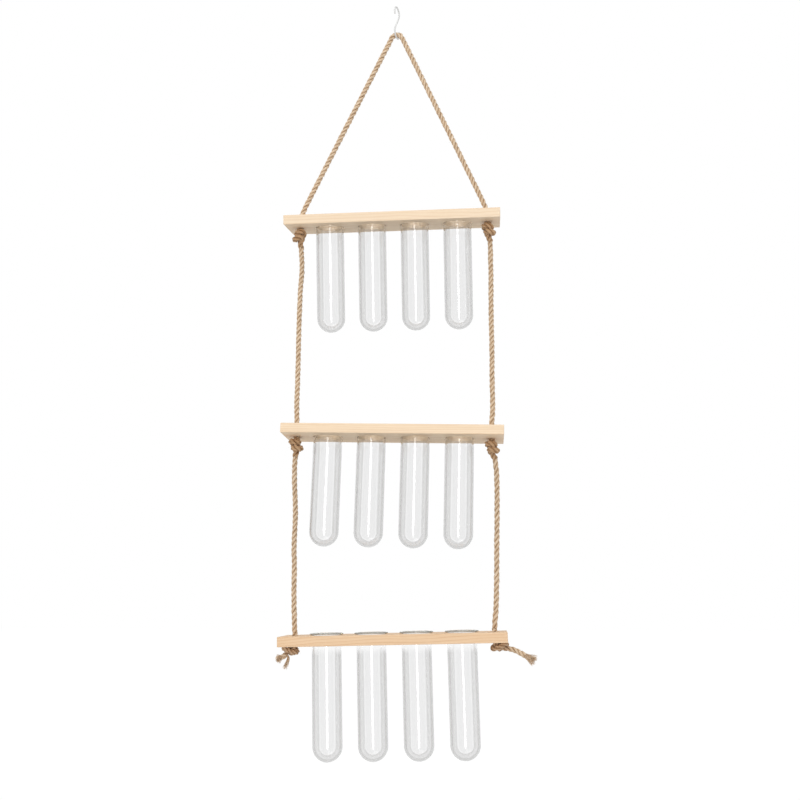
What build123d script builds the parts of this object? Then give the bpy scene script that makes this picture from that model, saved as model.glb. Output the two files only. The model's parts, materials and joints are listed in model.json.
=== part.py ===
# Hanging test tube vase: three pine boards on one knotted jute rope, which is draped over an S-hook,
# with four glass test tubes hung by their lips in each board.
# Millimetres, +Z up, +X to the right and +Y away from the viewer. The origin is the point inside the
# hook's upper bend that bears on whatever it hangs from, so the vase hangs down from there.
import os
from math import asin, cos, degrees, pi, radians, sin, sqrt, tan

from build123d import *

# Boards, and the rope holes near their ends
board_length = 228
board_width = 54
board_thickness = 10
board_edge_rounding = 0.6
rope_hole_inset = 13
rope_hole_diameter = 8

# Test tubes, one row of four in each board
tubes_per_board = 4
end_tube_inset = 45.45
tube_diameter = 30
tube_wall = 1.5
tube_length = 125
rim_overhang = 2
tube_hole_play = 0.5
lip_seat_gap = 0.2

# Rope, and the knots that it is drawn into under the boards
rope_diameter = 5.5
knot_rope_diameter = 5.0
end_knot_rope_diameter = 4.2
knot_strand_gap = 0.42
end_knot_strand_gap = 0.7
rope_end_gap = 0.3
rope_bend_radius_at_hook = 6.0
top_knot_crown_drop = 0.15
middle_knot_crown_drop = -0.25
end_knot_crown_drop = -0.85
rope_stand_above_board = 3.0
knot_pivot_drop = 2.6
knot_lead_out = 6.0

# S-hook of round wire, turned a little on its support
hook_height = 38
hook_wire_diameter = 1.8
hook_bend_radius = 6.5
hook_end_reach = 25
hook_turn = -17
hook_rope_gap = 0.3

# How the ladder of boards hangs: drops are from centre to centre
rope_top_to_top_board = 213.5
top_board_to_middle_board = 228.8
middle_board_to_bottom_board = 208.2
boards_left_of_hook = 4.6

# Attitude of each board as it hangs: tilt lifts the back edge, roll drops the right end, in degrees
top_tilt = 6.3
top_roll = -0.25
middle_tilt = -4.5
middle_roll = 1.3
bottom_tilt = -2.5
bottom_roll = -1.4

# Frayed ends of the rope under the bottom board
right_fray_length = 12
right_fray_diameter = 12
left_fray_length = 6
left_fray_diameter = 10
loose_strand_diameter = 2.6

# Overhand knot of the upper boards, in units of its own strand spacing: x and z are odd in t and y is even,
# so the rope comes in at the top, goes round itself, passes through its own loop and leaves at the bottom.
knot_x_shares = (-0.45, -0.70, 0.20)
knot_y_shares = (0.80, -1.55, -0.45)
knot_z_shares = (1.10, 0.0, 0.31, -0.14)
knot_corners = 13
knot_test_points = 240

# Where each rope strays from a straight line: (share of its drop, sideways shift in rope diameters)
middle_left_stray_shares = ((0.10, 0.42), (0.24, 0.44), (0.44, 0.30), (0.70, 0.22), (0.90, 0.0))
middle_right_stray_shares = ((0.14, 0.0), (0.34, 0.06), (0.58, -0.14), (0.84, -0.22))
bottom_left_stray_shares = ((0.12, 0.0), (0.30, -0.12), (0.56, 0.06), (0.84, -0.14))
bottom_right_stray_shares = ((0.10, 0.30), (0.28, 0.56), (0.52, 0.42), (0.78, 0.20), (0.92, 0.0))

# Overhand knot under the bottom board, drawn flat against it. Each point is (outwards along the board, back,
# up) from the rope hole at the board's underside, in strand spacings.
end_knot_shares = (
    (0.05, 0.03, -0.28),
    (0.62, 0.23, -1.10),
    (0.67, 0.93, -1.62),
    (1.41, 1.51, -1.47),
    (2.18, 1.44, -1.11),
    (2.54, 0.80, -0.52),
    (2.27, -0.30, -0.49),
    (1.32, -0.57, -0.85),
    (0.42, -0.83, -1.29),
    (-0.45, -0.16, -1.47),
    (-0.41, 0.86, -1.08),
    (0.14, 1.25, -0.62),
    (1.09, 1.18, -0.47),
    (1.50, 0.60, -0.72),
    (1.85, 0.40, -1.47),
)
right_end_shares = (2.95, 0.15, -1.43)
left_end_shares = (2.05, 0.15, -1.85)

# Tails, as (sideways outwards, forwards, down) from the end of the knot that they leave
right_tail_route = ((3.5, 0.7, 0.6), (9.0, 1.4, 3.0), (15.5, 2.2, 6.4))
left_tail_route = ((1.2, 0.8, 1.1), (3.6, 1.4, 2.2))
loose_strand_route = ((-1.6, 1.2, 3.2), (-2.2, 1.8, 7.4), (-0.4, 2.0, 13.4))

# Sizes worked out from those above
tube_pitch = (board_length - 2 * end_tube_inset) / (tubes_per_board - 1)
tube_radius = tube_diameter / 2
bore_radius = tube_radius - tube_wall
rope_radius = rope_diameter / 2
wire_radius = hook_wire_diameter / 2
rope_hole_x = board_length / 2 - rope_hole_inset
tube_hole_radius = tube_radius + tube_hole_play
lip_bend_radius = rim_overhang - tube_wall / 2
lip_bend_x = tube_radius + lip_bend_radius
lip_start = -sqrt((lip_bend_radius - lip_seat_gap) ** 2 - (lip_bend_x - tube_hole_radius) ** 2)
lip_top = lip_start + lip_bend_radius + tube_wall
dome_centre = lip_top - tube_length + tube_radius

hook_bottom_wire = hook_wire_diameter - hook_height + wire_radius
rope_apex = hook_bottom_wire + wire_radius + hook_rope_gap + rope_radius

tier_heights = {"top": rope_apex - rope_top_to_top_board}
tier_heights["middle"] = tier_heights["top"] - top_board_to_middle_board
tier_heights["bottom"] = tier_heights["middle"] - middle_board_to_bottom_board
tier_tilts = {
    "top": (top_tilt, top_roll),
    "middle": (middle_tilt, middle_roll),
    "bottom": (bottom_tilt, bottom_roll),
}
crown_drops = {"top": top_knot_crown_drop, "middle": middle_knot_crown_drop}
end_shares = {"left": left_end_shares, "right": right_end_shares}
sides = {"left": -1, "right": 1}


def tier_plane(tier):
    """The plane of a board's middle, as the board hangs."""
    tilt, roll = tier_tilts[tier]
    level = Plane(origin=(-boards_left_of_hook, 0, tier_heights[tier]))
    return level.rotated((tilt, roll, 0))


def rope_hole(tier, side):
    """The middle of a board's rope hole."""
    return tier_plane(tier).from_local_coords(Vector(sides[side] * rope_hole_x, 0, 0))


# Board


def make_board(tier):
    plane = tier_plane(tier)
    with BuildPart() as board:
        with BuildSketch(plane.offset(-board_thickness / 2)):
            Rectangle(board_length, board_width)
            with GridLocations(tube_pitch, board_width, tubes_per_board, 1):
                Circle(tube_hole_radius, mode=Mode.SUBTRACT)
            with GridLocations(2 * rope_hole_x, board_width, 2, 1):
                Circle(rope_hole_diameter / 2, mode=Mode.SUBTRACT)
        extrude(amount=board_thickness)
        fillet(board.edges().filter_by(GeomType.LINE), board_edge_rounding)
    return board.part


# Test tube: a straight wall, a round end, and a lip turned out through a quarter circle


def make_tube(tier, place):
    plane = tier_plane(tier)
    along = (place - (tubes_per_board - 1) / 2) * tube_pitch
    seat = plane.from_local_coords(Vector(along, 0, board_thickness / 2))
    with BuildPart() as tube:
        with BuildSketch(Plane(origin=seat, x_dir=plane.x_dir, z_dir=-plane.y_dir)):
            with BuildLine():
                CenterArc((0, dome_centre), bore_radius, -90, 90)
                Line((bore_radius, dome_centre), (bore_radius, lip_start))
                CenterArc((lip_bend_x, lip_start), lip_bend_radius + tube_wall, 180, -90)
                CenterArc((lip_bend_x, lip_top - tube_wall / 2), tube_wall / 2, 90, -180)
                CenterArc((lip_bend_x, lip_start), lip_bend_radius, 90, 90)
                Line((tube_radius, lip_start), (tube_radius, dome_centre))
                CenterArc((0, dome_centre), tube_radius, 0, -90)
                Line((0, dome_centre - tube_radius), (0, dome_centre - bore_radius))
            make_face()
        revolve(axis=Axis(seat, plane.z_dir))
    return tube.part


# Rope


def bend_radii(points):
    """The radius of the arc at each corner: as large as the two runs that meet there allow."""
    runs = [after - before for before, after in zip(points, points[1:])]
    radii = []
    for before, after in zip(runs, runs[1:]):
        half_turn = radians(before.get_angle(after)) / 2
        radii.append(0.45 * min(before.length, after.length) / tan(half_turn))
    return radii


def make_rope(name, points, diameter, round_start=False, round_end=False):
    """A rope along a route of points, with round ends where it turns against its neighbour."""
    points = [Vector(*point) for point in points]
    radii = bend_radii(points)
    with BuildPart() as rope:
        with BuildLine() as route:
            FilletPolyline(*points, radius=radii)
        with BuildSketch(Plane(origin=points[0], z_dir=points[1] - points[0])):
            Circle(diameter / 2)
        sweep(path=route.wire())
        if round_start:
            with Locations(points[0]):
                Sphere(diameter / 2)
        if round_end:
            with Locations(points[-1]):
                Sphere(diameter / 2)
    print(f"{name}: {route.wire().length:.1f} mm long, radii", " ".join(f"{radius:.1f}" for radius in radii))
    return rope.part


# Upper rope: up from the left hole, over the hook and down into the right hole


def upper_rope_points():
    left, right = rope_hole("top", "left"), rope_hole("top", "right")
    leg_turn = pi / 2 - asin((right.X - left.X) / 2 / rope_top_to_top_board)
    half_run = rope_bend_radius_at_hook * tan(leg_turn / 2) / 0.45 / 2
    end = knot_rope_diameter / 2 + rope_end_gap - knot_pivot_drop
    corner = board_thickness / 2 + rope_stand_above_board
    return [
        (left.X, 0, left.Z + end),
        (left.X, 0, left.Z + corner),
        (-half_run, 0, rope_apex),
        (half_run, 0, rope_apex),
        (right.X, 0, right.Z + corner),
        (right.X, 0, right.Z + end),
    ]


# Knot


def knot_curve(t, spacing, hand):
    """A point of the overhand knot, for t from 1 at the top to -1 at the bottom."""
    x1, x2, x3 = knot_x_shares
    y1, y2, y3 = knot_y_shares
    z0, z1, z2, z3 = knot_z_shares
    x = x1 * sin(pi * t) + x2 * sin(2 * pi * t) + x3 * sin(3 * pi * t)
    y = y1 * cos(pi * t / 2) ** 2 + y2 * sin(pi * t) ** 2 + y3 * cos(3 * pi * t / 2) ** 2
    z = z0 * t + z1 * sin(pi * t) + z2 * sin(2 * pi * t) + z3 * sin(3 * pi * t)
    return Vector(hand * x * spacing, y * spacing, z * spacing)


def knot_rope(tier):
    """The diameter and strand spacing of a tier's knots."""
    if tier == "bottom":
        return end_knot_rope_diameter, end_knot_rope_diameter + end_knot_strand_gap
    return knot_rope_diameter, knot_rope_diameter + knot_strand_gap


def knot_centre(tier, side):
    """The middle of an upper board's knot, under its rope hole."""
    diameter, spacing = knot_rope(tier)
    heights = [knot_curve(2 * n / knot_test_points - 1, spacing, 1).Z for n in range(knot_test_points + 1)]
    drop = board_thickness / 2 + crown_drops[tier] + max(heights) + diameter / 2
    return rope_hole(tier, side) - Vector(0, 0, drop)


def end_knot_place(side, share):
    """A point of a bottom knot, laid out under the board."""
    diameter, spacing = knot_rope("bottom")
    out, back, up = share
    crown = max(height for across, along, height in end_knot_shares)
    height = (up - crown) * spacing - diameter / 2 - end_knot_crown_drop - board_thickness / 2
    along = sides[side] * (rope_hole_x + out * spacing)
    return tier_plane("bottom").from_local_coords(Vector(along, back * spacing, height))


def knot_pivot(tier, side):
    """The centre of the round upper end of a knot, inside the board's rope hole."""
    return rope_hole(tier, side) - Vector(0, 0, knot_pivot_drop)


def knot_end(tier, side):
    """The lower end of a knot: straight down, or outwards where the rope ends."""
    if tier == "bottom":
        return end_knot_place(side, end_shares[side])
    last = knot_centre(tier, side) + knot_curve(-1, knot_rope(tier)[1], sides[side])
    return last - Vector(0, 0, knot_lead_out)


def knot_points(tier, side):
    if tier == "bottom":
        body = [end_knot_place(side, share) for share in end_knot_shares]
    else:
        centre, spacing = knot_centre(tier, side), knot_rope(tier)[1]
        steps = [1 - 2 * n / (knot_corners - 1) for n in range(knot_corners)]
        body = [centre + knot_curve(t, spacing, sides[side]) for t in steps]
    return [knot_pivot(tier, side), *body, knot_end(tier, side)]


def least_gap(points, diameter):
    """The least gap between stretches of a rope that lie more than two diameters apart along it."""
    with BuildLine() as route:
        FilletPolyline(*points, radius=bend_radii(points))
    wire = route.wire()
    places = [wire @ (n / knot_test_points) for n in range(knot_test_points + 1)]
    step = wire.length / knot_test_points
    apart = int(2 * diameter / step)
    pairs = ((a, b) for a in range(len(places)) for b in range(a + apart, len(places)))
    return min((places[a] - places[b]).length for a, b in pairs) - diameter


# Ropes between the boards, and the short stretches inside the lower boards' rope holes


def rope_foot(tier, side):
    """The centre of the round lower end of a rope, just above the stretch in the board's hole."""
    rise = board_thickness / 2 + rope_stand_above_board + rope_end_gap + rope_radius
    return rope_hole(tier, side) + Vector(0, 0, rise)


def rope_head(tier_above, side):
    """The centre of the round upper end of a rope, just under the knot above."""
    return knot_end(tier_above, side) - Vector(0, 0, rope_end_gap + rope_radius)


def ladder_rope_points(tier_above, tier, side, stray):
    head, foot = rope_head(tier_above, side), rope_foot(tier, side)
    points = [head]
    for share, shift in stray:
        points.append(head + (foot - head) * share + Vector(shift * rope_diameter, 0, 0))
    points.insert(1, head - Vector(0, 0, rope_diameter))
    points.append(foot + Vector(0, 0, rope_diameter))
    points.append(foot)
    return points


def make_lead(tier, side):
    """The stretch of rope inside a board's rope hole, flat at both ends."""
    hole = rope_hole(tier, side)
    low = hole.Z + knot_rope(tier)[0] / 2 + rope_end_gap - knot_pivot_drop
    high = hole.Z + board_thickness / 2 + rope_stand_above_board
    with BuildPart() as lead:
        with BuildSketch(Plane(origin=(hole.X, hole.Y, low))):
            Circle(rope_radius)
        extrude(amount=high - low)
    return lead.part


# Frayed tails: a rope end that opens out into a brush of loose fibre, on the left with one strand come loose


def tail_points(side, route):
    start = knot_end("bottom", side)
    shifts = [Vector(sides[side] * out, -forward, -down) for out, forward, down in route]
    return [start, *(start + shift for shift in shifts)]


def make_tail(side, route, fray_length, fray_diameter, strand_route=None):
    points = tail_points(side, route)
    fray_direction = (points[-1] - points[-2]).normalized()
    radii = bend_radii(points)
    with BuildPart() as tail:
        with BuildLine() as line:
            FilletPolyline(*points, radius=radii)
        with BuildSketch(Plane(origin=points[0], z_dir=points[1] - points[0])):
            Circle(rope_radius)
        sweep(path=line.wire())
        with BuildSketch(Plane(origin=points[-1], z_dir=fray_direction)):
            Circle(rope_radius)
        with BuildSketch(Plane(origin=points[-1] + fray_direction * fray_length, z_dir=fray_direction)):
            Circle(fray_diameter / 2)
        loft()
        if strand_route:
            strand = tail_points(side, strand_route)
            with BuildLine() as strand_line:
                FilletPolyline(*strand, radius=bend_radii(strand))
            with BuildSketch(Plane(origin=strand[0], z_dir=strand[1] - strand[0])):
                Circle(loose_strand_diameter / 2)
            sweep(path=strand_line.wire())
    length = line.wire().length + fray_length
    print(f"{side} tail: {length:.1f} mm long, radii", " ".join(f"{radius:.1f}" for radius in radii))
    return tail.part


# S-hook: two bends that open opposite ways, joined by the slanting stem that touches both


def make_hook():
    turn = radians(hook_turn)
    plane = Plane(origin=(0, 0, 0), x_dir=(-sin(turn), cos(turn), 0), z_dir=(cos(turn), sin(turn), 0))
    upper = wire_radius - hook_bend_radius
    lower = hook_bottom_wire + hook_bend_radius
    slant = degrees(asin(2 * hook_bend_radius / (upper - lower)))
    with BuildPart() as hook:
        with BuildLine(plane) as line:
            sweep_angle = 180 + slant + hook_end_reach
            over = CenterArc((0, upper), hook_bend_radius, 180 + hook_end_reach, -sweep_angle)
            under = CenterArc((0, lower), hook_bend_radius, 180 - slant, sweep_angle)
            Line(over @ 1, under @ 0)
        start, end = over @ 0, under @ 1
        with BuildSketch(Plane(origin=start, z_dir=over % 0)):
            Circle(wire_radius)
        sweep(path=line.wire())
        with Locations(start, end):
            Sphere(wire_radius)
    return hook.part


parts = {"hanging_hook": make_hook()}
for tier in tier_heights:
    parts[f"{tier}_board"] = make_board(tier)
    for place in range(tubes_per_board):
        parts[f"{tier}_tube_{place + 1}"] = make_tube(tier, place)

parts["upper_rope"] = make_rope("upper rope", upper_rope_points(), rope_diameter)
for side in sides:
    for tier in tier_heights:
        points = knot_points(tier, side)
        diameter = knot_rope(tier)[0]
        parts[f"{tier}_{side}_knot"] = make_rope(f"{tier} {side} knot", points, diameter, round_start=True)
        print(f"{tier} {side} knot: least gap to itself {least_gap(points, diameter):.2f} mm")

ladder_ropes = {
    "middle_left_rope": ("top", "middle", "left", middle_left_stray_shares),
    "middle_right_rope": ("top", "middle", "right", middle_right_stray_shares),
    "bottom_left_rope": ("middle", "bottom", "left", bottom_left_stray_shares),
    "bottom_right_rope": ("middle", "bottom", "right", bottom_right_stray_shares),
}
for name, (tier_above, tier, side, stray) in ladder_ropes.items():
    points = ladder_rope_points(tier_above, tier, side, stray)
    parts[name] = make_rope(name, points, rope_diameter, round_start=True, round_end=True)
    parts[name.replace("rope", "lead")] = make_lead(tier, side)

left_tail = make_tail("left", left_tail_route, left_fray_length, left_fray_diameter, loose_strand_route)
right_tail = make_tail("right", right_tail_route, right_fray_length, right_fray_diameter)
parts["bottom_left_tail"] = left_tail - parts["bottom_left_knot"]
parts["bottom_right_tail"] = right_tail - parts["bottom_right_knot"]

os.makedirs("parts", exist_ok=True)
for name, part in parts.items():
    part.label = name
    export_step(part, f"parts/{name}.step")
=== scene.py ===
import json
import math
import random

import bpy
import numpy as np
from mathutils import Matrix, Vector, noise


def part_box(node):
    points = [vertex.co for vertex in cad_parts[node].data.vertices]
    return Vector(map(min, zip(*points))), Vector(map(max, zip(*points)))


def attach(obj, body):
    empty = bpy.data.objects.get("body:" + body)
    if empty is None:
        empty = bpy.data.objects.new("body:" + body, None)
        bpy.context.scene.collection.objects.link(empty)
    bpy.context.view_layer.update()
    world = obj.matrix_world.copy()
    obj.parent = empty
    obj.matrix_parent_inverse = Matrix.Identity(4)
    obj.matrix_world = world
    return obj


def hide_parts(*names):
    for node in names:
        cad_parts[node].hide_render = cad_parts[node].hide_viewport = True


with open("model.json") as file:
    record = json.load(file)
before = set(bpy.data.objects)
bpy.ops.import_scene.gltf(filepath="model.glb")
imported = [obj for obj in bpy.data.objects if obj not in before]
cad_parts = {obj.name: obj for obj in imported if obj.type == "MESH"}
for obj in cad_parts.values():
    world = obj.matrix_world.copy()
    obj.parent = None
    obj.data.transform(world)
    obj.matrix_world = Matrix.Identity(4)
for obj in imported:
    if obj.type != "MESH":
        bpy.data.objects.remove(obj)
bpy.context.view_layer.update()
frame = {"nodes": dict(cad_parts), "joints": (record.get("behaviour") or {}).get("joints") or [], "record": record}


# Boards
# Three strips of sanded pine, each drilled for four tubes and for the rope's two legs.
# They are planed stock with the arrises just eased, left bare, so the growth rings show.

MM = 0.001
TIERS = ("top", "middle", "bottom")
joints = {joint["name"]: joint for joint in frame["joints"]}
mounts = {mount["name"]: mount for mount in frame["record"]["mounts"]}

# How quickly the wood changes along, across and up its board, in changes per metre
ring_wander_scales = (9.0, 30.0, 30.0)
ring_ripple_scales = (45.0, 160.0, 160.0)
wood_fibre_scales = (55.0, 2400.0, 2400.0)
wood_streak_scales = (12.0, 420.0, 420.0)
ring_wander_reach = 9 * MM
ring_ripple_reach = 1.1 * MM
grain_relief = 0.06 * MM


def new_material(name):
    material = bpy.data.materials.new(name)
    material.use_nodes = True
    nodes = material.node_tree.nodes
    return material, nodes, material.node_tree.links, nodes["Principled BSDF"]


def add_node(nodes, kind, **settings):
    node = nodes.new(kind)
    for key, value in settings.items():
        if key.startswith("in_"):
            node.inputs[int(key[3:])].default_value = value
        else:
            setattr(node, key, value)
    return node


def math_node(nodes, links, operation, first, second=None, third=None):
    node = add_node(nodes, "ShaderNodeMath", operation=operation)
    for place, value in enumerate((first, second, third)):
        if value is None:
            continue
        if isinstance(value, (int, float)):
            node.inputs[place].default_value = value
        else:
            links.new(value, node.inputs[place])
    return node.outputs[0]


def colour_ramp(nodes, links, factor, stops):
    node = nodes.new("ShaderNodeValToRGB")
    ramp = node.color_ramp
    while len(ramp.elements) < len(stops):
        ramp.elements.new(0.5)
    for element, (place, colour) in zip(ramp.elements, stops):
        element.position = place
        element.color = (*colour, 1)
    links.new(factor, node.inputs[0])
    return node.outputs[0]


def mix_colour(nodes, links, factor, first, second, blend="MIX"):
    node = add_node(nodes, "ShaderNodeMix", data_type="RGBA", blend_type=blend)
    for place, value in ((0, factor), (6, first), (7, second)):
        if isinstance(value, (int, float, tuple)):
            node.inputs[place].default_value = value if isinstance(value, (int, float)) else (*value, 1)
        else:
            links.new(value, node.inputs[place])
    return node.outputs[2]


def board_axes(tier):
    """A board's middle and its three directions: along it, from front to back, and up."""
    along = Vector(joints[f"{tier}_board_tip"]["axis"])
    up = Vector(mounts[f"{tier}_tube_1_mouth"]["axis"])
    return Vector(joints[f"{tier}_board_tip"]["pos_m"]), along, up.cross(along), up


def board_places(nodes, links, tier):
    """Distances along, across and up from a board's middle, in metres, on its own wood."""
    place = nodes.new("ShaderNodeTexCoord").outputs["Object"]
    middle, *directions = board_axes(tier)
    from_middle = add_node(nodes, "ShaderNodeVectorMath", operation="SUBTRACT", in_1=middle)
    links.new(place, from_middle.inputs[0])
    distances = []
    for direction in directions:
        dot = add_node(nodes, "ShaderNodeVectorMath", operation="DOT_PRODUCT", in_1=direction)
        links.new(from_middle.outputs[0], dot.inputs[0])
        distances.append(dot.outputs["Value"])
    return distances


def stretched_noise(nodes, links, distances, scales, detail, roughness, shift=0.0):
    """Noise that changes at its own rate along each of three distances, like grain in wood or in a yarn."""
    scaled = [math_node(nodes, links, "MULTIPLY_ADD", d, s, shift) for d, s in zip(distances, scales)]
    combined = nodes.new("ShaderNodeCombineXYZ")
    for value, place in zip(scaled, combined.inputs):
        links.new(value, place)
    texture = add_node(nodes, "ShaderNodeTexNoise", in_2=1.0, in_3=detail, in_4=roughness)
    links.new(combined.outputs[0], texture.inputs["Vector"])
    return texture.outputs["Fac"]


def pine(tier, early_wood, late_wood, pith, slant, ring_width, seed):
    """Pine whose rings run round a pith at (across, up) from the board's middle and climb by slant."""
    material, nodes, links, surface = new_material(f"{tier}_pine")
    along, across, up = board_places(nodes, links, tier)
    wander = stretched_noise(nodes, links, (along, across, up), ring_wander_scales, 2.0, 0.5, seed)
    ripple = stretched_noise(nodes, links, (along, across, up), ring_ripple_scales, 2.0, 0.5, seed + 3)
    climb = math_node(nodes, links, "MULTIPLY_ADD", along, slant, up)
    climb = math_node(nodes, links, "MULTIPLY_ADD", wander, ring_wander_reach, climb)
    climb = math_node(nodes, links, "MULTIPLY_ADD", ripple, ring_ripple_reach, climb)
    rise = math_node(nodes, links, "SUBTRACT", climb, pith[1])
    side = math_node(nodes, links, "SUBTRACT", across, pith[0])
    rise_squared = math_node(nodes, links, "MULTIPLY", rise, rise)
    squares = math_node(nodes, links, "MULTIPLY_ADD", side, side, rise_squared)
    radius = math_node(nodes, links, "SQRT", squares)
    ring = math_node(nodes, links, "FRACT", math_node(nodes, links, "DIVIDE", radius, ring_width))
    middle_wood = tuple((3 * early + late) / 4 for early, late in zip(early_wood, late_wood))
    colour = colour_ramp(nodes, links, ring, (
        (0.0, early_wood), (0.45, early_wood), (0.78, middle_wood), (0.93, late_wood), (1.0, early_wood)))
    fibre = stretched_noise(nodes, links, (along, across, up), wood_fibre_scales, 3.0, 0.6, seed)
    streak = stretched_noise(nodes, links, (along, across, up), wood_streak_scales, 2.0, 0.5, seed + 7)
    shade = colour_ramp(nodes, links, fibre, ((0.30, (0.94, 0.91, 0.87)), (0.62, (1.0, 1.0, 1.0))))
    tone = colour_ramp(nodes, links, streak, ((0.32, (0.95, 0.92, 0.88)), (0.66, (1.0, 1.0, 1.0))))
    colour = mix_colour(nodes, links, 0.75, colour, shade, "MULTIPLY")
    colour = mix_colour(nodes, links, 0.8, colour, tone, "MULTIPLY")
    links.new(colour, surface.inputs["Base Color"])
    links.new(math_node(nodes, links, "MULTIPLY_ADD", fibre, 0.22, 0.46), surface.inputs["Roughness"])
    surface.inputs["Specular IOR Level"].default_value = 0.35
    grain = math_node(nodes, links, "MULTIPLY_ADD", ring, -0.35, fibre)
    bump = add_node(nodes, "ShaderNodeBump", in_0=0.35, in_1=grain_relief)
    links.new(grain, bump.inputs["Height"])
    links.new(bump.outputs[0], surface.inputs["Normal"])
    return material


board_cuts = {
    "top": dict(early_wood=(0.95, 0.775, 0.58), late_wood=(0.87, 0.66, 0.45), pith=(0.012, -0.058),
                slant=0.004, ring_width=2.7 * MM, seed=1.3),
    "middle": dict(early_wood=(0.95, 0.765, 0.56), late_wood=(0.86, 0.63, 0.415), pith=(-0.016, 0.066),
                   slant=-0.006, ring_width=2.4 * MM, seed=5.1),
    "bottom": dict(early_wood=(0.885, 0.64, 0.42), late_wood=(0.76, 0.48, 0.27), pith=(0.020, -0.045),
                   slant=-0.035, ring_width=2.3 * MM, seed=9.6),
}
for tier in TIERS:
    board = frame["nodes"][f"{tier}_board"]
    board.data.materials.clear()
    board.data.materials.append(pine(tier, **board_cuts[tier]))


# Test tubes
# Twelve tubes of clear glass, drawn and closed by hand heat, so their walls are a little wavy.
# The mouth is turned out into a fire-polished lip, and the tube hangs in the board by that lip.

tubes_per_board = 4
tube_wall = 1.5 * MM
rim_overhang = 2.0 * MM
tube_sides = 96
wall_steps = 40
dome_steps = 18
lip_steps = 8
lip_inner_steps = 10
glass_wave = 0.016 * MM
waves_per_metre = 11
wave_fade = 12 * MM
inner_wall_seed = 40
tube_seed_step = 7.3
# How far below the mouth the painted grey bands on a tube's outer wall begin, and the length over which they fade
# in
painted_band_start = 12 * MM
painted_band_run = 6 * MM
lip_start = 0.9 * MM
glass_bending = 1.47


def arc(centre, radius, start, end, steps):
    """Points along an arc in a tube's profile, as (distance from the axis, height)."""
    angles = [math.radians(start + (end - start) * n / steps) for n in range(steps + 1)]
    return [(centre[0] + radius * math.cos(a), centre[1] + radius * math.sin(a)) for a in angles]


def tube_profile(bore, depth):
    """From the bottom's outside, up and over the lip, and down to the bottom's inside."""
    outside = bore + tube_wall
    bend = rim_overhang - tube_wall / 2
    heights = [-depth + depth * n / wall_steps for n in range(1, wall_steps)]
    points = arc((0, -depth), outside, -90, 0, dome_steps)
    points += [(outside, height) for height in heights]
    points += arc((outside + bend, 0), bend, 180, 90, lip_steps)
    points += arc((outside + bend, bend + tube_wall / 2), tube_wall / 2, -90, 90, lip_steps)[1:]
    points += arc((outside + bend, 0), bend + tube_wall, 90, 180, lip_inner_steps)[1:]
    points += [(bore, height) for height in reversed(heights)]
    points += arc((0, -depth), bore, 0, -90, dome_steps)
    return points


def mesh_piece(name, vertices, faces, material, smooth=True):
    mesh = bpy.data.meshes.new(name)
    mesh.from_pydata(vertices, [], faces)
    mesh.polygons.foreach_set("use_smooth", [smooth] * len(mesh.polygons))
    mesh.materials.append(material)
    mesh.update()
    piece = bpy.data.objects.new(name, mesh)
    bpy.context.scene.collection.objects.link(piece)
    return piece


def blow_tube(name, mount, material, seed):
    """A tube turned about its mouth's axis, with the slow waves of hand-drawn glass in its walls."""
    axis = Vector(mount["axis"])
    depth = mount["dims"]["length_mm"] * MM
    mouth = Vector(mount["pos_m"]) + axis * depth / 2
    turn = axis.to_track_quat("Z", "X").to_matrix()
    bore_radius = mount["dims"]["r_mm"] * MM
    profile = tube_profile(bore_radius, depth)
    vertices, rings, outer = [], [], []
    for number, (radius, height) in enumerate(profile):
        outside = number < len(profile) / 2
        if radius < MM / 100:
            rings.append([len(vertices)])
            vertices.append(mouth + turn @ Vector((0, 0, height)))
            outer.append(float(outside))
            continue
        ring = []
        wall_seed = seed if outside else seed + inner_wall_seed
        fade = min(1.0, abs(height) / wave_fade)
        # How much of the glass's painted grey bands this ring of the outer wall takes
        below_board = min(1.0, max(0.0, (-height - painted_band_start) / painted_band_run))
        for step in range(tube_sides):
            angle = 2 * math.pi * step / tube_sides
            wave_place = Vector((math.cos(angle), math.sin(angle), height * waves_per_metre + wall_seed))
            r = radius + glass_wave * noise.noise(wave_place) * fade
            ring.append(len(vertices))
            vertices.append(mouth + turn @ Vector((r * math.cos(angle), r * math.sin(angle), height)))
            outer.append(below_board if outside else 0.0)
        rings.append(ring)
    faces = []
    for low, high in zip(rings, rings[1:]):
        for step in range(tube_sides):
            after = (step + 1) % tube_sides
            if len(low) == 1:
                faces.append((low[0], high[after], high[step]))
            elif len(high) == 1:
                faces.append((low[step], low[after], high[0]))
            else:
                faces.append((low[step], low[after], high[after], high[step]))
    tube = mesh_piece(name, vertices, faces, material)
    # That share goes to the glass material, which paints its grey bands by it
    wall = tube.data.attributes.new("outer_wall", "FLOAT", "POINT")
    wall.data.foreach_set("value", outer)
    for polygon in tube.data.polygons:
        centre = polygon.center - mouth
        across = centre - axis * centre.dot(axis)
        polygon.material_index = int(across.length > bore_radius + tube_wall + lip_start)
    return tube


def let_light_past(nodes, links, surface, share):
    """Glass throws hardly any shadow, so most of each shadow ray goes on through it."""
    clear = nodes.new("ShaderNodeBsdfTransparent")
    mixed = nodes.new("ShaderNodeMixShader")
    rays = nodes.new("ShaderNodeLightPath")
    links.new(math_node(nodes, links, "MULTIPLY", rays.outputs["Is Shadow Ray"], share), mixed.inputs[0])
    links.new(surface.outputs[0], mixed.inputs[1])
    links.new(clear.outputs[0], mixed.inputs[2])
    links.new(mixed.outputs[0], nodes["Material Output"].inputs["Surface"])


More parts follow.
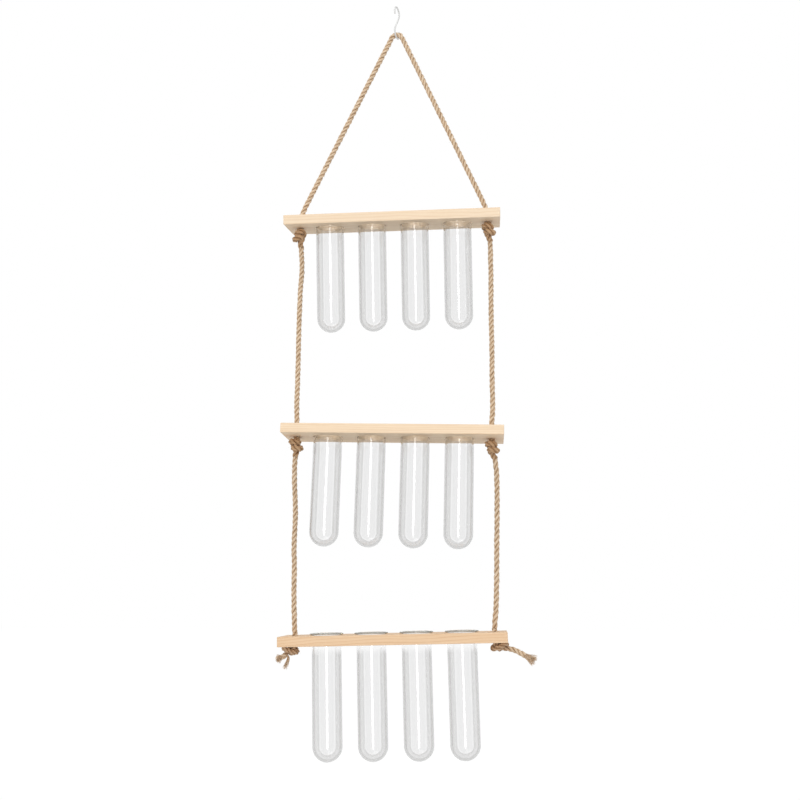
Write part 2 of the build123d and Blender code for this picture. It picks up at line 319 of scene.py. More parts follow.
def clear_glass():
    """Soda glass, clear where it faces the eye, with painted reflections in its colour: a light grey face, lighter
    lines round it, and grey side bands where the wall is seen edge on.
    """
    material, nodes, links, surface = new_material("clear_glass")
    edge = add_node(nodes, "ShaderNodeLayerWeight", in_0=0.5)
    # Painted reflection, by how squarely the wall faces the eye: a light grey face, lighter lines round it, and
    # dark grey side bands where the wall is seen edge on
    painted_facing_shade = colour_ramp(nodes, links, edge.outputs["Facing"], (
        (0.0, (0.86, 0.86, 0.86)), (0.10, (0.86, 0.86, 0.86)), (0.125, (0.93, 0.93, 0.93)),
        (0.155, (0.93, 0.93, 0.93)), (0.175, (0.625, 0.622, 0.618)), (1.0, (0.60, 0.598, 0.592))))
    # The painted bands are only on the outer wall below the board; the rest of the glass is a plain light grey
    wall = add_node(nodes, "ShaderNodeAttribute", attribute_name="outer_wall").outputs["Fac"]
    links.new(mix_colour(nodes, links, wall, (0.97, 0.97, 0.97), painted_facing_shade), surface.inputs["Base Color"])
    surface.inputs["Roughness"].default_value = 0.0
    surface.inputs["IOR"].default_value = glass_bending
    surface.inputs["Transmission Weight"].default_value = 1.0
    let_light_past(nodes, links, surface, 0.85)
    return material


def lip_glass():
    """The same glass at the turned lip, green as thick soda glass is, with painted shade that greys it the more
    the lip is seen edge on, for the light caught in the thick edge.
    """
    material, nodes, links, surface = new_material("lip_glass")
    edge = add_node(nodes, "ShaderNodeLayerWeight", in_0=0.5)
    # Painted shade over the glass's own green: the colour greys as the lip turns edge on
    painted_facing_shade = colour_ramp(nodes, links, edge.outputs["Facing"], (
        (0.0, (0.92, 0.93, 0.90)), (0.5, (0.76, 0.78, 0.72)), (1.0, (0.58, 0.61, 0.54))))
    links.new(painted_facing_shade, surface.inputs["Base Color"])
    surface.inputs["Roughness"].default_value = 0.03
    surface.inputs["IOR"].default_value = glass_bending
    surface.inputs["Transmission Weight"].default_value = 0.55
    let_light_past(nodes, links, surface, 0.7)
    return material


glass = clear_glass()
lip = lip_glass()
for tier_number, tier in enumerate(TIERS):
    for place in range(1, tubes_per_board + 1):
        node = f"{tier}_tube_{place}"
        seed = tube_seed_step * (tubes_per_board * tier_number + place)
        tube = blow_tube(f"{node}_glass", mounts[f"{node}_mouth"], glass, seed)
        tube.data.materials.append(lip)
        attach(tube, node)
        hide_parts(node)


# Rope
# Three-strand jute rope, laid right-handed and a little hairy. One length is draped over the hook, and its
# two legs run down through the boards' end holes. Each stretch rides with the solid that stands for it.

SIDES = {"left": -1, "right": 1}
rope_diameter = 5.5 * MM
rope_hole_inset = 13 * MM
board_thickness = 10 * MM
half_board = 114 * MM
strand_count = 3
strand_sides = 12
strand_share = 0.25
strand_centre_share = 0.262
ring_step = 0.8 * MM
yarns_per_strand = 4
yarn_depth_share = 0.055
yarn_lay_share = 0.55
# A point's painted hollow shade is read from hollow_limit less its distance from the rope's axis, in rope radii
hollow_limit = 1.12

# How uneven a strand is, and the length over which that comes and goes
twist_wander, twist_wander_run = 0.10, 9 * MM
even_start = 12 * MM
loose_share, loose_run = 0.05, 5.3 * MM
swell_share, swell_run = 0.045, 3.1 * MM
fine_swell_share, fine_swell_run = 0.03, 1.4 * MM


def rope_hole(tier, side):
    """The middle of a board's rope hole."""
    middle, along = board_axes(tier)[:2]
    return middle + along * SIDES[side] * (half_board - rope_hole_inset)


def spline_line(points):
    """The smooth line that a cord takes through its route's points, as evenly spaced places."""
    curve = bpy.data.curves.new("route", "CURVE")
    curve.dimensions = "3D"
    curve.resolution_u = 16
    spline = curve.splines.new("NURBS")
    spline.points.add(len(points) - 1)
    for control, point in zip(spline.points, points):
        control.co = (*point, 1)
    spline.order_u = 3
    spline.use_endpoint_u = True
    holder = bpy.data.objects.new("route", curve)
    mesh = bpy.data.meshes.new_from_object(holder)
    line = np.array([vertex.co for vertex in mesh.vertices], float)
    bpy.data.meshes.remove(mesh)
    bpy.data.objects.remove(holder)
    bpy.data.curves.remove(curve)
    return line


def even_steps(line, step):
    """The same line with its places about one step apart."""
    lengths = np.concatenate([[0], np.cumsum(np.linalg.norm(np.diff(line, axis=0), axis=1))])
    count = max(4, int(round(lengths[-1] / step)))
    wanted = np.linspace(0, lengths[-1], count + 1)
    return np.stack([np.interp(wanted, lengths, line[:, k]) for k in range(3)], axis=1), wanted


def unit_rows(rows):
    return rows / np.linalg.norm(rows, axis=1)[:, None]


def carried_sides(line, first_side):
    """A direction across the line at each place, carried along it without twisting."""
    tangents = unit_rows(np.gradient(line, axis=0))
    side = np.array(first_side, float)
    sides = []
    for tangent in tangents:
        side = side - tangent * side.dot(tangent)
        side = side / np.linalg.norm(side)
        sides.append(side.copy())
    return tangents, np.array(sides)


def lay_rope(name, line, first_side, material, lay, diameter=rope_diameter, step=ring_step, seed=0):
    """Three strands laid round a line. Gives back the piece, its line and the first strand's last side."""
    line, lengths = even_steps(line, step)
    tangents, sides = carried_sides(line, first_side)
    across = np.cross(tangents, sides)
    draw = random.Random(seed)
    strand_radius = strand_share * diameter
    centre_radius = strand_centre_share * diameter
    vertices, faces, places, hollows = [], [], [], []
    last_side = None
    for strand in range(strand_count):
        sway = [draw.uniform(0, 2 * math.pi) for _ in range(4)]
        angle = 2 * math.pi * (lengths / lay + strand / strand_count)
        wander = twist_wander * np.sin(lengths / twist_wander_run + sway[0])
        angle = angle + wander * np.minimum(1, lengths / even_start)
        outward = np.cos(angle)[:, None] * sides + np.sin(angle)[:, None] * across
        if strand == 0:
            last_side = outward[-1]
        out = centre_radius * (1 + loose_share * np.sin(lengths / loose_run + sway[1]))
        centres = line + outward * out[:, None]
        run = unit_rows(np.gradient(centres, axis=0))
        radial = unit_rows(outward - run * (outward * run).sum(1)[:, None])
        beside = np.cross(run, radial)
        base = len(vertices)
        swell = 1 + swell_share * np.sin(lengths / swell_run + sway[2])
        swell = swell + fine_swell_share * np.sin(lengths / fine_swell_run + sway[3])
        for ring in range(len(line)):
            for corner in range(strand_sides):
                turn = 2 * math.pi * corner / strand_sides
                yarn_turn = yarns_per_strand * turn - 2 * math.pi * lengths[ring] / (yarn_lay_share * lay)
                radius = strand_radius * (swell[ring] + yarn_depth_share * math.cos(yarn_turn))
                offset = (-math.cos(turn) * radial[ring] + math.sin(turn) * beside[ring]) * radius
                vertices.append(centres[ring] + offset)
                # How deep this point lies in the lay, for the painted shade of the hollows
                depth = np.linalg.norm(centres[ring] + offset - line[ring]) / (diameter / 2)
                hollows.append(float(min(1.0, max(0.0, hollow_limit - depth))))
                places.append((lengths[ring], corner / strand_sides, strand + seed))
        for ring in range(len(line) - 1):
            for corner in range(strand_sides):
                after = (corner + 1) % strand_sides
                low, high = base + ring * strand_sides, base + (ring + 1) * strand_sides
                faces.append((low + corner, low + after, high + after, high + corner))
        for ring in (0, len(line) - 1):
            loop = [base + ring * strand_sides + corner for corner in range(strand_sides)]
            faces.append(tuple(loop if ring else reversed(loop)))
    piece = mesh_piece(name, [tuple(v) for v in vertices], faces, material)
    place = piece.data.attributes.new("strand_place", "FLOAT_VECTOR", "POINT")
    place.data.foreach_set("vector", np.array(places, np.float32).ravel())
    # The depth in the lay, from which the jute paints the shade of its hollows
    hollow = piece.data.attributes.new("hollow", "FLOAT", "POINT")
    hollow.data.foreach_set("value", np.array(hollows, np.float32))
    return piece, line, last_side


# Loose hairs: how many there are, how far they reach, and how they rise, bend over and thin out. A pair is
# the least and the most that one is drawn between, and the radii are in millimetres.
hairs_per_metre = 620
hair_reach = 4.2 * MM
hair_reach_shares = (0.35, 1.0)
hair_leans = (0.5, 1.6)
hair_curls = (-0.8, 0.8)
hair_radii = (0.035, 0.06)
hair_first_side = (0.3, -0.8, 0.2)
hair_root_share = 0.45
hair_rise = 0.75
hair_bend = 0.35
hair_taper = 0.85
hair_steps = 4
hair_sides = 3


def add_hairs(name, line, material, per_metre, seed, diameter):
    """Loose fibres that stand off a rope: thin three-sided hairs that bend as they leave it."""
    draw = random.Random(seed)
    tangents, sides = carried_sides(line, hair_first_side)
    across = np.cross(tangents, sides)
    length = np.linalg.norm(np.diff(line, axis=0), axis=1).sum()
    vertices, faces = [], []
    for _ in range(int(length * per_metre)):
        place = draw.randrange(len(line))
        angle = draw.uniform(0, 2 * math.pi)
        out = math.cos(angle) * sides[place] + math.sin(angle) * across[place]
        lean = tangents[place] * draw.choice((-1, 1)) * draw.uniform(*hair_leans)
        curl = np.cross(out, tangents[place]) * draw.uniform(*hair_curls)
        start = line[place] + out * diameter * hair_root_share
        length_out = hair_reach * draw.uniform(*hair_reach_shares)
        root_radius = draw.uniform(*hair_radii) * MM
        beside = np.cross(out, lean) / np.linalg.norm(np.cross(out, lean))
        base = len(vertices)
        for step in range(hair_steps + 1):
            t = step / hair_steps
            point = start + (out * t * hair_rise + lean * t * (1 - hair_bend * t) + curl * t * t) * length_out
            radius = root_radius * (1 - hair_taper * t)
            for corner in range(hair_sides):
                turn = 2 * math.pi * corner / hair_sides
                vertices.append(tuple(point + (math.cos(turn) * beside + math.sin(turn) * out) * radius))
        for step in range(hair_steps):
            for corner in range(hair_sides):
                after = (corner + 1) % hair_sides
                low = base + hair_sides * step
                high = low + hair_sides
                faces.append((low + corner, low + after, high + after, high + corner))
    hairs = mesh_piece(name, vertices, faces, material)
    return hairs


# How quickly the fibre's colour changes along the strand, round it, and from strand to strand
jute_fibre_scales = (260.0, 17.0, 5.0)
jute_patch_scales = (70.0, 2.0, 5.0)
fibre_twist = -90.0
fibre_relief = 0.12 * MM


def jute(name, shade):
    """Bleached jute: straw brown, paler where fibres catch the light, with painted shade in the lay's hollows, and
    the given shade, a painted shade too, laid over all.
    """
    material, nodes, links, surface = new_material(name)
    place = add_node(nodes, "ShaderNodeAttribute", attribute_name="strand_place").outputs["Vector"]
    parts = nodes.new("ShaderNodeSeparateXYZ")
    links.new(place, parts.inputs[0])
    along, around, strand = parts.outputs
    twist = math_node(nodes, links, "MULTIPLY_ADD", along, fibre_twist, around)
    fibre_places = (along, twist, strand)
    fibre = stretched_noise(nodes, links, fibre_places, jute_fibre_scales, 3.0, 0.6)
    patch = stretched_noise(nodes, links, fibre_places, jute_patch_scales, 2.0, 0.5, 3.0)
    colour = colour_ramp(nodes, links, fibre, (
        (0.28, (0.54, 0.375, 0.235)), (0.46, (0.76, 0.585, 0.405)), (0.70, (0.93, 0.78, 0.62))))
    tone = colour_ramp(nodes, links, patch, ((0.3, (0.84, 0.80, 0.76)), (0.65, (1.0, 1.0, 1.0))))
    colour = mix_colour(nodes, links, 0.8, colour, tone, "MULTIPLY")
    # Painted shade: darker the deeper a point lies in the lay's hollows
    hollow = add_node(nodes, "ShaderNodeAttribute", attribute_name="hollow").outputs["Fac"]
    painted_hollow_shade = colour_ramp(nodes, links, hollow, (
        (0.12, (1.0, 1.0, 1.0)), (0.32, (0.74, 0.66, 0.58)), (0.60, (0.46, 0.37, 0.28))))
    colour = mix_colour(nodes, links, 1.0, colour, painted_hollow_shade, "MULTIPLY")
    # The given painted shade over the whole colour; white leaves the jute as it is
    colour = mix_colour(nodes, links, 1.0, colour, shade, "MULTIPLY")
    links.new(colour, surface.inputs["Base Color"])
    surface.inputs["Roughness"].default_value = 0.85
    surface.inputs["Specular IOR Level"].default_value = 0.2
    surface.inputs["Sheen Weight"].default_value = 0.25
    surface.inputs["Sheen Roughness"].default_value = 0.5
    surface.inputs["Sheen Tint"].default_value = (0.95, 0.82, 0.66, 1)
    bump = add_node(nodes, "ShaderNodeBump", in_0=0.6, in_1=fibre_relief)
    links.new(fibre, bump.inputs["Height"])
    links.new(bump.outputs[0], surface.inputs["Normal"])
    return material


def loose_fibre():
    """Single fibres that have come out of their yarn: the same jute, without its lay or its hollows."""
    material, nodes, links, surface = new_material("loose_fibre")
    place = nodes.new("ShaderNodeTexCoord").outputs["Object"]
    texture = add_node(nodes, "ShaderNodeTexNoise", in_2=180.0, in_3=2.0)
    links.new(place, texture.inputs["Vector"])
    colour = colour_ramp(nodes, links, texture.outputs["Fac"], (
        (0.35, (0.56, 0.38, 0.23)), (0.65, (0.88, 0.69, 0.49))))
    links.new(colour, surface.inputs["Base Color"])
    surface.inputs["Roughness"].default_value = 0.7
    return material


jute_yarn = jute("jute", (1.0, 1.0, 1.0))
# Painted shade for the knots, which hang in the shade under their boards: darker for the upper four, lighter for
# the bottom two
knot_in_board_shade = jute("knot_jute", (0.76, 0.64, 0.525))
end_knot_in_shade = jute("end_knot_jute", (0.86, 0.78, 0.72))
yarns_in_board_shade = {"top": knot_in_board_shade, "middle": knot_in_board_shade, "bottom": end_knot_in_shade}
fibre_yarn = loose_fibre()


def dress(piece, line, body, nodes, seed, per_metre=hairs_per_metre, diameter=rope_diameter):
    """Put a rope's piece on its body, in place of its solids, and give it its loose hairs."""
    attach(piece, body)
    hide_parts(*nodes)
    if not per_metre:
        return
    hairs = add_hairs(f"{piece.name}_hairs", line, fibre_yarn, per_metre, seed, diameter)
    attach(hairs, body)


# The upper rope stands straight in the top board's holes, leans in above them and is tight over the hook
hook_run = 4.0 * MM
near_hook = 9 * MM
near_edge = 33 * MM
rope_stand = 3 * MM
upper_lay = 16.4 * MM
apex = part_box("upper_rope")[1].z - rope_diameter / 2
low_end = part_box("upper_rope")[0].z


def upper_route():
    left, right = rope_hole("top", "left"), rope_hole("top", "right")
    points = []
    for hole, sign in ((left, -1), (right, 1)):
        corner = Vector((hole.x, 0, hole.z + board_thickness / 2 + rope_stand))
        saddle = Vector((sign * hook_run, 0, apex))
        lean = (saddle - corner).normalized()
        leg = [Vector((hole.x, 0, low_end)), corner, corner + lean * near_edge,
               saddle - lean * near_edge, saddle - lean * near_hook, saddle]
        points += leg if sign < 0 else reversed(leg)
    return points


upper_rope, upper_line, right_side = lay_rope("upper_rope_strands", spline_line(upper_route()), (1, 0, 0),
                                              jute_yarn, upper_lay, seed=1)
dress(upper_rope, upper_line, "sling", ["upper_rope"], 11)
start_sides = {("top", "left"): Vector((1, 0, 0)), ("top", "right"): Vector(right_side)}


# Knots
# Plain overhand knots in the same rope, pulled tight under each board's two rope holes, so that the boards
# rest on them. The upper four are round, and the last two are drawn flat against the bottom board.

# How far each wave of the upper knots' curve goes across, fore and aft, and up, in strand spacings
knot_x_shares = (-0.41, -0.62, 0.17)
knot_y_shares = (0.80, -1.55, -0.45)
knot_z_shares = (1.10, 0.0, 0.31, -0.14)

knot_strand_gap = 0.42 * MM
knot_lead_out = 6 * MM
knot_points_count = 41
crown_drops = {"top": 0.15 * MM, "middle": -0.25 * MM}
knot_rope = 5.0 * MM
knot_press = 1.1 * MM
knot_lay = 15.5 * MM
knot_ring_step = 0.5 * MM
knot_hairs_per_metre = 500
knot_pivot_drop = 2.6 * MM
knot_hands = {("top", "left"): -1, ("top", "right"): 1, ("middle", "left"): 1, ("middle", "right"): 1}

# Both legs rest against the outer side of most of their holes, and leave the knots a little to one side.
# Inside a board the rope keeps nearer to the middle of the hole.
lead_rest_share = 0.3
hole_rests = {("top", "left"): 0.0, ("top", "right"): 0.8 * MM, ("middle", "left"): -0.8 * MM,
              ("middle", "right"): 0.8 * MM, ("bottom", "left"): -0.4 * MM, ("bottom", "right"): 0.6 * MM}
knot_leans = {("top", "left"): 1.6 * MM, ("top", "right"): 1.4 * MM,
              ("middle", "left"): -1.4 * MM, ("middle", "right"): 2.9 * MM}
end_knot_rope = 4.2 * MM
end_knot_press = 0.5 * MM
end_knot_strand_gap = 0.7 * MM
end_knot_crown_drop = -0.85 * MM

# The bottom knots' route: each point is (outwards, back, up) from the rope hole, in strand spacings
end_knot_shares = (
    (0.05, 0.03, -0.28), (0.62, 0.23, -1.10), (0.67, 0.93, -1.62), (1.41, 1.51, -1.47),
    (2.18, 1.44, -1.11), (2.54, 0.80, -0.52), (2.27, -0.30, -0.49), (1.32, -0.57, -0.85),
    (0.42, -0.83, -1.29), (-0.45, -0.16, -1.47), (-0.41, 0.86, -1.08), (0.14, 1.25, -0.62),
    (1.09, 1.18, -0.47), (1.50, 0.60, -0.72), (1.85, 0.40, -1.47))
end_shares = {"right": (2.95, 0.15, -1.43), "left": (2.05, 0.15, -1.85)}


def knot_curve(t, spacing, hand):
    """A point of the overhand knot, for t from 1 at the top to -1 at the bottom."""
    x1, x2, x3 = knot_x_shares
    y1, y2, y3 = knot_y_shares
    z0, z1, z2, z3 = knot_z_shares
    turn = math.pi * t
    x = x1 * math.sin(turn) + x2 * math.sin(2 * turn) + x3 * math.sin(3 * turn)
    y = y1 * math.cos(turn / 2) ** 2 + y2 * math.sin(turn) ** 2 + y3 * math.cos(3 * turn / 2) ** 2
    z = z0 * t + z1 * math.sin(turn) + z2 * math.sin(2 * turn) + z3 * math.sin(3 * turn)
    return Vector((hand * x, y, z)) * spacing


def knot_route(tier, side):
    """From the rope hole, round an upper board's knot, and out at its foot."""
    hand = knot_hands[tier, side]
    spacing = knot_rope + knot_strand_gap
    steps = [1 - 2 * n / (knot_points_count - 1) for n in range(knot_points_count)]
    crown = max(knot_curve(t, spacing, hand).z for t in steps) + knot_rope / 2
    hole = rope_hole(tier, side) + Vector((hole_rests[tier, side], 0, 0))
    centre = hole - Vector((0, 0, board_thickness / 2 + crown_drops[tier] + crown + knot_press / 2))
    inside = rope_hole(tier, side) + Vector((hole_rests[tier, side] * lead_rest_share, 0, 0))
    top = inside - Vector((0, 0, knot_pivot_drop - knot_rope / 2))
    body = [centre + knot_curve(t, spacing, hand) for t in steps]
    foot = body[-1] + Vector((knot_leans[tier, side], 0, knot_press / 2 - knot_lead_out))
    return [top, *body, foot]


def end_knot_route(side):
    """From the rope hole, round the flat knot, and out towards the rope's end."""
    along, back, up = board_axes("bottom")[1:]
    spacing = end_knot_rope + end_knot_strand_gap
    crown = max(share[2] for share in end_knot_shares)
    hole = rope_hole("bottom", side)
    points = [hole - Vector((0, 0, knot_pivot_drop - end_knot_rope / 2))]
    for out, behind, above in (*end_knot_shares, end_shares[side]):
        height = (above - crown) * spacing - end_knot_rope / 2 - end_knot_crown_drop - board_thickness / 2
        points.append(hole + along * SIDES[side] * out * spacing + back * behind * spacing + up * height)
    return points


knot_bodies = {"top": "top_knots", "middle": "middle_knots", "bottom": "bottom_shelf"}
knots = {}
knot_ends = {}


def tie_knot(tier, side):
    """Lay a knot in the rope that comes down through its board, and keep where the rope leaves it."""
    end = tier == "bottom"
    rope = end_knot_rope + end_knot_press if end else knot_rope + knot_press
    route = end_knot_route(side) if end else knot_route(tier, side)
    seed = 20 + 2 * TIERS.index(tier) + SIDES[side]
    name = f"{tier}_{side}_knot"
    knot, line, end_side = lay_rope(f"{name}_strands", spline_line(route), start_sides[tier, side],
                                    yarns_in_board_shade[tier], knot_lay, rope, knot_ring_step, seed)
    dress(knot, line, knot_bodies[tier], [name], seed + 50, knot_hairs_per_metre, rope)
    knots[tier, side] = knot
    knot_ends[tier, side] = (line[-1], end_side)


for side in SIDES:
    tie_knot("top", side)


# Ladder ropes
# Below each board the two legs hang slack enough to wander a little, as the rope keeps the set of its coil.
# Each goes down into the next board's hole and is knotted beneath it.

rope_end_gap = 0.3 * MM
lean_on_share = 1.1

# How far each rope strays to the right at shares of its way down, in rope diameters
stray_shares = {
    ("middle", "left"): ((0.07, 0.44), (0.14, 0.50), (0.24, 0.19), (0.34, 0.12), (0.44, 0.02),
                         (0.56, -0.03), (0.70, -0.08), (0.82, -0.16), (0.90, -0.24)),
    ("middle", "right"): ((0.10, 0.44), (0.20, 0.46), (0.34, 0.37), (0.46, 0.38), (0.60, 0.43),
                          (0.74, 0.33), (0.86, 0.40), (0.94, 0.34)),
    ("bottom", "left"): ((0.08, -0.50), (0.16, -0.46), (0.26, -0.28), (0.34, -0.20), (0.42, -0.30),
                         (0.52, -0.44), (0.62, -0.26), (0.74, -0.32), (0.84, -0.26), (0.92, -0.17)),
    ("bottom", "right"): ((0.07, 0.90), (0.18, 0.93), (0.30, 0.88), (0.52, 0.70), (0.76, 0.56), (0.90, 0.36)),
}
ladder_lays = {("middle", "left"): 15.9 * MM, ("middle", "right"): 16.4 * MM,
               ("bottom", "left"): 17.2 * MM, ("bottom", "right"): 18.6 * MM}
cord_pieces = {}


def ladder_route(above, tier, side):
    """From just under one board's knot to just above the next board's hole."""
    upper_hole, hole = rope_hole(above, side), rope_hole(tier, side)
    start = Vector((upper_hole.x, upper_hole.y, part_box(f"{above}_{side}_knot")[0].z - rope_end_gap))
    end = Vector((hole.x, hole.y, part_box(f"{tier}_{side}_lead")[1].z + rope_end_gap))
    off_start = Vector((hole_rests[above, side] + knot_leans[above, side], 0, 0))
    off_end = Vector((hole_rests[tier, side], 0, 0))
    points = [start + off_start, start + off_start * lean_on_share - Vector((0, 0, rope_diameter))]
    for share, shift in stray_shares[tier, side]:
        points.append(start + (end - start) * share + Vector((shift * rope_diameter, 0, 0)))
    return [*points, end + off_end + Vector((0, 0, rope_diameter)), end + off_end]


for above, tier in (("top", "middle"), ("middle", "bottom")):
    for side in SIDES:
        seed = 5 * TIERS.index(tier) + SIDES[side]
        name = f"{tier}_{side}_rope"
        route = ladder_route(above, tier, side)
        rope, line, end_side = lay_rope(f"{name}_strands", spline_line(route), knot_ends[above, side][1],
                                        jute_yarn, ladder_lays[tier, side], seed=seed)
        dress(rope, line, f"{tier}_{side}_side", [name], seed + 30)
        low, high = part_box(f"{tier}_{side}_lead")
        hole = rope_hole(tier, side) + Vector((hole_rests[tier, side] * lead_rest_share, 0, 0))
        lead_heights = (high.z, (low.z + high.z) / 2, low.z)
        lead_line = spline_line([Vector((hole.x, hole.y, height)) for height in lead_heights])
        lead, lead_line, end_side = lay_rope(f"{tier}_{side}_lead_strands", lead_line, end_side, jute_yarn,
                                             ladder_lays[tier, side], seed=seed + 9)
        dress(lead, lead_line, f"{tier}_leads", [f"{tier}_{side}_lead"], seed + 70, per_metre=0)
        start_sides[tier, side] = Vector(end_side)
        tie_knot(tier, side)
        cord_pieces[tier, side] = (rope, line, [lead, knots[tier, side]])


# Tails
# The rope's two cut ends, left long under the bottom board and gone to a brush of loose fibre. In the left
# one, a strand has come out of the lay and hangs by itself.

tail_lay = 15 * MM
tail_hairs_per_metre = 900
fibre_step = 1.2 * MM
fibre_sides = 4
fibre_curl_share = 0.06
fibre_opening_power = 1.4
fibre_taper = 0.5
fibre_first_side = (0.1, -1, 0.3)
tuft_fibres = 75
tuft_root_radius = 2.1 * MM
tuft_root_depth = 2.5 * MM
tuft_run = 5 * MM
loose_strand_fibres = 70
loose_strand_root_radius = 1.2 * MM
loose_strand_tip_radius = 2.2 * MM

# The least and the most of a fibre's length, as a share of its tuft's, and of its radius, in millimetres
fibre_reach_shares = (0.78, 1.04)
fibre_radii = (0.09, 0.19)

# The tails' routes from their knots: each point is (outwards, forwards, down) in millimetres
right_tail_route = ((3.5, 0.7, 0.6), (9.0, 1.4, 3.0), (15.5, 2.2, 6.4))
left_tail_route = ((1.2, 0.8, 1.1), (3.6, 1.4, 2.2))
loose_strand_route = ((-2.6, 0.8, 0.4), (-3.6, 1.2, 3.4), (-2.0, 1.8, 8.2), (0.6, 2.0, 13.6))


def loose_fibres(name, line, root_radius, tip_radius, count, seed):
    """Loose fibres, of slightly different lengths, that follow a line and open out towards its end."""
    draw = random.Random(seed)
    line, lengths = even_steps(line, fibre_step)
    tangents, sides = carried_sides(line, fibre_first_side)
    across = np.cross(tangents, sides)
    rings = len(line)
    vertices, faces = [], []
    for _ in range(count):
        angle, out = draw.uniform(0, 2 * math.pi), math.sqrt(draw.random())
        curl_across, curl_side = draw.uniform(-1, 1), draw.uniform(-1, 1)
        reach = draw.uniform(*fibre_reach_shares)
        fibre_radius = draw.uniform(*fibre_radii) * MM
        base = len(vertices)
        for ring in range(rings):
            share = ring / (rings - 1)
            spread = root_radius + (tip_radius - root_radius) * share ** fibre_opening_power
            curl = fibre_curl_share * lengths[-1] * share * share
            place = share * reach * (rings - 1)
            low = min(int(place), rings - 2)
            part = place - low
            centre = line[low] * (1 - part) + line[low + 1] * part
            side_shift = math.cos(angle) * out * spread + curl_side * curl
            across_shift = math.sin(angle) * out * spread + curl_across * curl
            radius = fibre_radius * (1 - fibre_taper * share)
            for corner in range(fibre_sides):
                turn = 2 * math.pi / fibre_sides * corner
                point = centre + sides[low] * (side_shift + math.cos(turn) * radius)
                vertices.append(tuple(point + across[low] * (across_shift + math.sin(turn) * radius)))
        for ring in range(rings - 1):
            for corner in range(fibre_sides):
                after = (corner + 1) % fibre_sides
                low = base + fibre_sides * ring
                high = low + fibre_sides
                faces.append((low + corner, low + after, high + after, high + corner))
    piece = mesh_piece(name, vertices, faces, fibre_yarn)
    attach(piece, "bottom_shelf")
    return piece


def tail_line(side, route):
    """A tail's line, from where the rope leaves its knot."""
    start = Vector(knot_ends["bottom", side][0])
    shifts = [Vector((SIDES[side] * out, -forward, -down)) * MM for out, forward, down in route]
    return spline_line([start, *(start + shift for shift in shifts)])


# Each tail ends in tufts, one to a strand. For each, in millimetres: its tip, (outwards, forwards, up) from
# the laid rope's end, and how wide it opens
tuft_ends = {"right": (((11.5, 0.5, -2.0), 2.6), ((8.0, 1.5, -8.8), 2.2), ((10.0, -1.5, -5.6), 2.4)),
             "left": (((5.4, 1.0, 1.2), 2.8), ((4.0, 0.6, -5.0), 2.8), ((5.6, -1.0, -2.0), 3.0))}
tail_pieces = {}
for side, route in (("right", right_tail_route), ("left", left_tail_route)):
    tail, line, _ = lay_rope(f"bottom_{side}_tail_strands", tail_line(side, route),
                             knot_ends["bottom", side][1], jute_yarn, tail_lay, seed=80 + SIDES[side])
    dress(tail, line, "bottom_shelf", [f"bottom_{side}_tail"], 90 + SIDES[side], tail_hairs_per_metre)
    tail_pieces[side] = [tail]
    heading = Vector(line[-1] - line[-4]).normalized()
    for number, ((out, forward, up), opening) in enumerate(tuft_ends[side]):
        root = Vector(line[-1]) - heading * tuft_root_depth
        tip = Vector(line[-1]) + Vector((SIDES[side] * out, -forward, up)) * MM
        middle = root + heading * tuft_run
        tuft = loose_fibres(f"bottom_{side}_tail_tuft_{number + 1}", spline_line([root, middle, tip]),
                            tuft_root_radius, opening * MM, tuft_fibres, 95 + 3 * number + SIDES[side])
        tail_pieces[side].append(tuft)
strand = loose_fibres("bottom_left_tail_loose_strand", tail_line("left", loose_strand_route),
                      loose_strand_root_radius, loose_strand_tip_radius, loose_strand_fibres, 41)
tail_pieces["left"].append(strand)

for (tier, side), (rope, line, pieces) in cord_pieces.items():
    if tier == "bottom":
        pieces = pieces + tail_pieces[side]


# Hook
# An S-hook bent from one piece of white coated wire. The rope lies in its lower bend, and its upper bend
# goes over whatever the vase hangs from.

coating_grains_per_metre = 900.0
coating_relief = 0.03 * MM


def coated_wire():
    """White plastic-coated wire, smooth and a little uneven, as dipped wire is."""
    material, nodes, links, surface = new_material("coated_wire")
    place = nodes.new("ShaderNodeTexCoord").outputs["Object"]
    texture = add_node(nodes, "ShaderNodeTexNoise", in_2=coating_grains_per_metre, in_3=2.0)
    links.new(place, texture.inputs["Vector"])
    colour = colour_ramp(nodes, links, texture.outputs["Fac"], (
        (0.35, (0.66, 0.66, 0.65)), (0.6, (0.80, 0.80, 0.79))))
    links.new(colour, surface.inputs["Base Color"])
    roughness = math_node(nodes, links, "MULTIPLY_ADD", texture.outputs["Fac"], 0.2, 0.2)
    links.new(roughness, surface.inputs["Roughness"])
    surface.inputs["Coat Weight"].default_value = 0.4
    surface.inputs["Coat Roughness"].default_value = 0.15
    bump = add_node(nodes, "ShaderNodeBump", in_0=0.15, in_1=coating_relief)
    links.new(texture.outputs["Fac"], bump.inputs["Height"])
    links.new(bump.outputs[0], surface.inputs["Normal"])
    return material


hook = frame["nodes"]["hanging_hook"]
hook.data.materials.clear()
hook.data.materials.append(coated_wire())


# Room
# A white floor well below the vase and a white surround, so that it hangs clear of everything. A tall soft
# light stands in front and a fill hangs above. The camera is in front, a little to the right, and looks up.


def shown_rays(nodes, links):
    """1 for rays that show a surface to the eye: straight, by reflection or through glass."""
    rays = nodes.new("ShaderNodeLightPath")
    shown = math_node(nodes, links, "MAXIMUM", rays.outputs["Is Camera Ray"], rays.outputs["Is Glossy Ray"])
    return math_node(nodes, links, "MAXIMUM", shown, rays.outputs["Is Transmission Ray"])


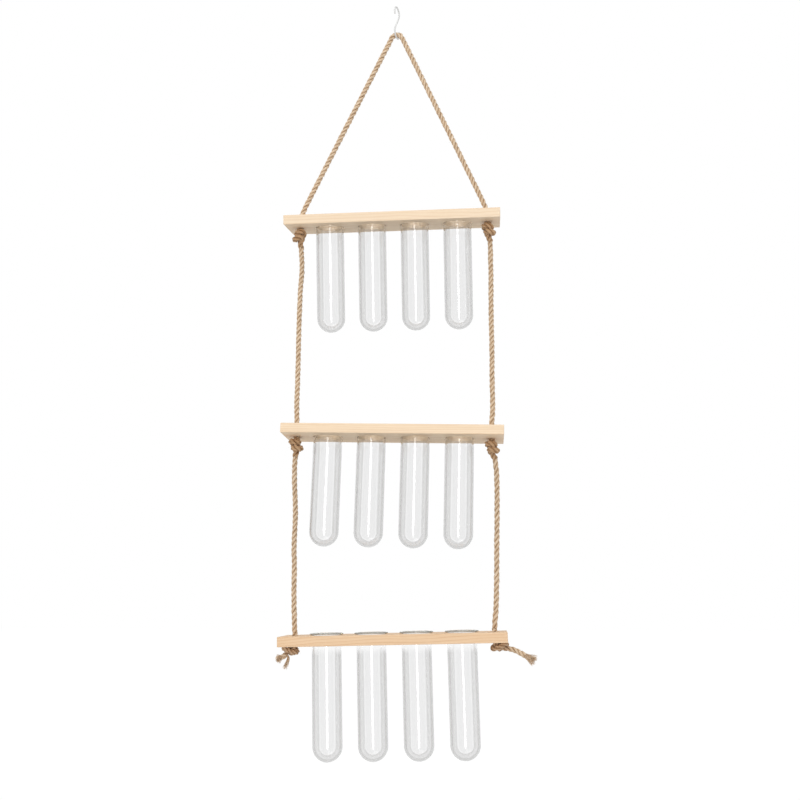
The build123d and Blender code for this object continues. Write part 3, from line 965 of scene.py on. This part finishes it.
floor_level = -1.15
floor_half = 6.0
floor_glow = 1.12
floor_glow_share = 0.8
corners = [(x * floor_half, y * floor_half, floor_level) for x, y in ((-1, -1), (1, -1), (1, 1), (-1, 1))]
floor_paint, nodes, links, surface = new_material("floor_paint")
surface.inputs["Base Color"].default_value = (0.86, 0.86, 0.86, 1)
surface.inputs["Roughness"].default_value = 0.8
glow = add_node(nodes, "ShaderNodeEmission", in_1=floor_glow)
shown = nodes.new("ShaderNodeMixShader")
links.new(math_node(nodes, links, "MULTIPLY", shown_rays(nodes, links), floor_glow_share), shown.inputs[0])
links.new(surface.outputs[0], shown.inputs[1])
links.new(glow.outputs[0], shown.inputs[2])
links.new(shown.outputs[0], nodes["Material Output"].inputs["Surface"])
floor = mesh_piece("floor", corners, [(0, 1, 2, 3)], floor_paint, smooth=False)

surround = bpy.data.worlds.new("surround")
surround.use_nodes = True
bpy.context.scene.world = surround
nodes, links = surround.node_tree.nodes, surround.node_tree.links
background = nodes["Background"]
background.inputs["Color"].default_value = (1, 1, 1, 1)
ambient = 0.6
strength = math_node(nodes, links, "MULTIPLY_ADD", shown_rays(nodes, links), 1 - ambient, ambient)
links.new(strength, background.inputs["Strength"])


def soft_light(name, place, target, width, height, radiance):
    """A rectangular softbox that faces its target and is equally bright whatever its size."""
    light = bpy.data.lights.new(name, "AREA")
    light.shape = "RECTANGLE"
    light.size, light.size_y = width, height
    light.energy = radiance * math.pi * width * height
    lamp = bpy.data.objects.new(name, light)
    lamp.location = place
    lamp.rotation_euler = (Vector(target) - Vector(place)).to_track_quat("-Z", "Y").to_euler()
    bpy.context.scene.collection.objects.link(lamp)


soft_light("front_softbox", (0.12, -1.75, -0.25), (0, 0, -0.42), 0.40, 1.7, 4.6)
soft_light("top_softbox", (-0.5, -0.7, 1.0), (0, 0, -0.4), 1.2, 1.2, 1.5)

camera_place = (0.0940, -1.0278, -0.5923)
camera_heading, camera_pitch, camera_roll = 5.1, 98.47, -0.15

# A row of four tubes seen end on has sixteen glass faces, so light needs many bounces to come through it
glass_bounces = 32

camera_data = bpy.data.cameras.new("camera")
camera_data.lens = 45
camera_data.sensor_width = 36
camera = bpy.data.objects.new("camera", camera_data)
camera.location = camera_place
turns = ((camera_heading, "Z"), (camera_pitch, "X"), (camera_roll, "Z"))
heading, pitch, roll = (Matrix.Rotation(math.radians(degrees), 3, axis) for degrees, axis in turns)
camera.rotation_euler = (heading @ pitch @ roll).to_euler()
bpy.context.scene.collection.objects.link(camera)
bpy.context.scene.camera = camera
bpy.context.scene.view_settings.view_transform = "Standard"
bpy.context.scene.cycles.max_bounces = glass_bounces
bpy.context.scene.cycles.transmission_bounces = glass_bounces
